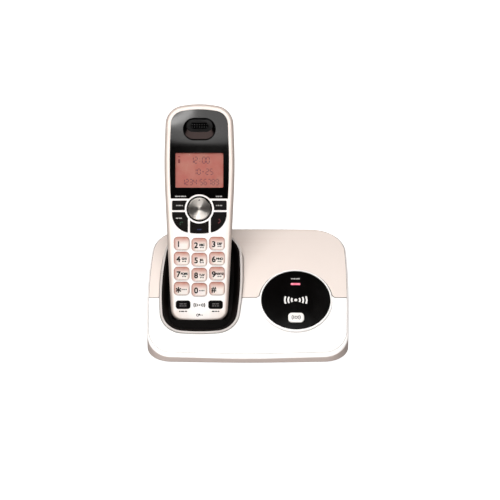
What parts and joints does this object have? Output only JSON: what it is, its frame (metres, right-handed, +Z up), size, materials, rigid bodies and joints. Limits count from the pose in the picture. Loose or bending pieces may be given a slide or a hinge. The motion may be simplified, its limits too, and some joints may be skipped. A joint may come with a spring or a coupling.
{
  "type": "cordless phone with base",
  "caption": "Cordless telephone: slim handset with display, keypad and navigation disc, leaning in the cradle of a wedge-shaped desk base with a round panel.",
  "frame": {"origin": "on the table under the middle of the whole object's box, with the handset in its cradle", "axes": "+Z up, -Y towards the user (the front edge of the base), +X to the user's right"},
  "size_m": [0.1394, 0.1248, 0.1404],
  "materials": {
    "white_shell": "satin pearl-white moulded plastic",
    "pearl_shell": "satin warm pearl-grey moulded plastic",
    "gloss_black": "polished black plastic",
    "satin_black": "satin black moulded plastic",
    "black_key": "semi-gloss black key caps",
    "translucent_key": "milky translucent key caps lit warm from behind",
    "spun_metal": "spun metal, circular brushing",
    "clear_window": "clear polished window",
    "display_glass": "amber backlit liquid crystal module",
    "perforated_metal": "stamped sheet",
    "contact_metal": "gold-plated contacts",
    "screw_steel": "plated steel screws",
    "circuit_board": "green solder mask",
    "silicone_rubber": "moulded rubber",
    "speaker_frame": "dark speaker capsule",
    "battery_wrap": "shrink wrap over the cells",
    "red_lens": "rose-red translucent lens",
    "white_button": "white button cap"
  },
  "bodies": {
    "base": {"base_circuit_board": "circuit_board", "base_front_cover": "white_shell", "base_lower_housing": "pearl_shell", "base_rear_cover": "white_shell", "base_screws": "screw_steel", "cradle_insert": "satin_black", "cradle_ring": "pearl_shell", "indicator_lens": "red_lens", "line_jack": "satin_black", "panel_switch_board": "circuit_board", "power_jack": "satin_black", "radio_shield": "perforated_metal", "round_panel": "gloss_black", "rubber_feet": "silicone_rubber"},
    "handset": {"handset_front_housing": "white_shell", "handset_back_housing": "pearl_shell", "display_panel": "gloss_black", "display_window": "clear_window", "display_module": "display_glass", "earpiece_grille": "perforated_metal", "earpiece_speaker": "speaker_frame", "microphone": "satin_black", "loudspeaker": "speaker_frame", "keypad_mat": "silicone_rubber", "handset_circuit_board": "circuit_board", "battery_pack": "battery_wrap", "handset_screws": "screw_steel", "handset_charge_contacts": "contact_metal"},
    "aux_key_left": {"aux_key_left": "black_key"},
    "aux_key_right": {"aux_key_right": "black_key"},
    "base_contact_left": {"base_contact_left": "contact_metal"},
    "base_contact_right": {"base_contact_right": "contact_metal"},
    "battery_door": {"battery_door": "pearl_shell"},
    "end_key": {"end_key": "black_key"},
    "find_button": {"find_button": "white_button"},
    "key_0": {"key_0": "translucent_key"},
    "key_1": {"key_1": "translucent_key"},
    "key_2": {"key_2": "translucent_key"},
    "key_3": {"key_3": "translucent_key"},
    "key_4": {"key_4": "translucent_key"},
    "key_5": {"key_5": "translucent_key"},
    "key_6": {"key_6": "translucent_key"},
    "key_7": {"key_7": "translucent_key"},
    "key_8": {"key_8": "translucent_key"},
    "key_9": {"key_9": "translucent_key"},
    "key_hash": {"key_hash": "translucent_key"},
    "key_star": {"key_star": "translucent_key"},
    "menu_key": {"menu_key": "black_key"},
    "nav_disc": {"nav_disc": "spun_metal"},
    "nav_frame": {"nav_frame": "satin_black"},
    "soft_key_left": {"soft_key_left": "black_key"},
    "soft_key_right": {"soft_key_right": "black_key"},
    "talk_key": {"talk_key": "black_key"}
  },
  "joints": [
    {"name": "handset_lift", "type": "slide", "parent": "base", "child": "handset", "axis": [0, 0.5299, 0.848], "range_m": [0, 0.08]},
    {"name": "aux_key_left_press", "type": "slide", "parent": "handset", "child": "aux_key_left", "axis": [0, 0.848, -0.5299], "range_m": [0, 0.0006], "stiffness_N_per_m": 400, "springref_m": -0.0006},
    {"name": "aux_key_right_press", "type": "slide", "parent": "handset", "child": "aux_key_right", "axis": [0, 0.848, -0.5299], "range_m": [0, 0.0006], "stiffness_N_per_m": 400, "springref_m": -0.0006},
    {"name": "key_0_press", "type": "slide", "parent": "handset", "child": "key_0", "axis": [0, 0.848, -0.5299], "range_m": [0, 0.0008], "stiffness_N_per_m": 400, "springref_m": -0.0006},
    {"name": "key_1_press", "type": "slide", "parent": "handset", "child": "key_1", "axis": [0, 0.848, -0.5299], "range_m": [0, 0.0008], "stiffness_N_per_m": 400, "springref_m": -0.0006},
    {"name": "key_2_press", "type": "slide", "parent": "handset", "child": "key_2", "axis": [0, 0.848, -0.5299], "range_m": [0, 0.0008], "stiffness_N_per_m": 400, "springref_m": -0.0006},
    {"name": "key_3_press", "type": "slide", "parent": "handset", "child": "key_3", "axis": [0, 0.848, -0.5299], "range_m": [0, 0.0008], "stiffness_N_per_m": 400, "springref_m": -0.0006},
    {"name": "key_4_press", "type": "slide", "parent": "handset", "child": "key_4", "axis": [0, 0.848, -0.5299], "range_m": [0, 0.0008], "stiffness_N_per_m": 400, "springref_m": -0.0006},
    {"name": "key_5_press", "type": "slide", "parent": "handset", "child": "key_5", "axis": [0, 0.848, -0.5299], "range_m": [0, 0.0008], "stiffness_N_per_m": 400, "springref_m": -0.0006},
    {"name": "key_6_press", "type": "slide", "parent": "handset", "child": "key_6", "axis": [0, 0.848, -0.5299], "range_m": [0, 0.0008], "stiffness_N_per_m": 400, "springref_m": -0.0006},
    {"name": "key_7_press", "type": "slide", "parent": "handset", "child": "key_7", "axis": [0, 0.848, -0.5299], "range_m": [0, 0.0008], "stiffness_N_per_m": 400, "springref_m": -0.0006},
    {"name": "key_8_press", "type": "slide", "parent": "handset", "child": "key_8", "axis": [0, 0.848, -0.5299], "range_m": [0, 0.0008], "stiffness_N_per_m": 400, "springref_m": -0.0006},
    {"name": "key_9_press", "type": "slide", "parent": "handset", "child": "key_9", "axis": [0, 0.848, -0.5299], "range_m": [0, 0.0008], "stiffness_N_per_m": 400, "springref_m": -0.0006},
    {"name": "key_hash_press", "type": "slide", "parent": "handset", "child": "key_hash", "axis": [0, 0.848, -0.5299], "range_m": [0, 0.0008], "stiffness_N_per_m": 400, "springref_m": -0.0006},
    {"name": "key_star_press", "type": "slide", "parent": "handset", "child": "key_star", "axis": [0, 0.848, -0.5299], "range_m": [0, 0.0008], "stiffness_N_per_m": 400, "springref_m": -0.0006},
    {"name": "soft_key_left_press", "type": "slide", "parent": "handset", "child": "soft_key_left", "axis": [0, 0.848, -0.5299], "range_m": [0, 0.0006], "stiffness_N_per_m": 400, "springref_m": -0.0006},
    {"name": "soft_key_right_press", "type": "slide", "parent": "handset", "child": "soft_key_right", "axis": [0, 0.848, -0.5299], "range_m": [0, 0.0006], "stiffness_N_per_m": 400, "springref_m": -0.0006},
    {"name": "talk_key_press", "type": "slide", "parent": "handset", "child": "talk_key", "axis": [0, 0.848, -0.5299], "range_m": [0, 0.0006], "stiffness_N_per_m": 400, "springref_m": -0.0006},
    {"name": "end_key_press", "type": "slide", "parent": "handset", "child": "end_key", "axis": [0, 0.848, -0.5299], "range_m": [0, 0.0006], "stiffness_N_per_m": 400, "springref_m": -0.0006},
    {"name": "menu_key_press", "type": "slide", "parent": "handset", "child": "menu_key", "axis": [0, 0.848, -0.5299], "range_m": [0, 0.0006], "stiffness_N_per_m": 400, "springref_m": -0.0006},
    {"name": "nav_rock_sideways", "type": "hinge", "parent": "handset", "child": "nav_frame", "pos_m": [-0.0334, 0.01204, 0.0784], "axis": [0, 0.5299, 0.848], "range_deg": [-3, 3], "stiffness_Nm_per_rad": 0.05},
    {"name": "nav_rock_up_down", "type": "hinge", "parent": "nav_frame", "child": "nav_disc", "pos_m": [-0.0334, 0.01204, 0.0784], "axis": [1, 0, 0], "range_deg": [-3, 3], "stiffness_Nm_per_rad": 0.05},
    {"name": "battery_door_lift", "type": "slide", "parent": "handset", "child": "battery_door", "axis": [0, 0.848, -0.5299], "range_m": [0, 0.012]},
    {"name": "find_button_press", "type": "slide", "parent": "base", "child": "find_button", "axis": [0, 0.4067, -0.9135], "range_m": [0, 0.001], "stiffness_N_per_m": 400, "springref_m": -0.0006},
    {"name": "base_contact_left_press", "type": "slide", "parent": "base", "child": "base_contact_left", "axis": [0, -0.5299, -0.848], "range_m": [0, 0.0012], "stiffness_N_per_m": 300, "springref_m": -0.0006},
    {"name": "base_contact_right_press", "type": "slide", "parent": "base", "child": "base_contact_right", "axis": [0, -0.5299, -0.848], "range_m": [0, 0.0012], "stiffness_N_per_m": 300, "springref_m": -0.0006}
  ]
}
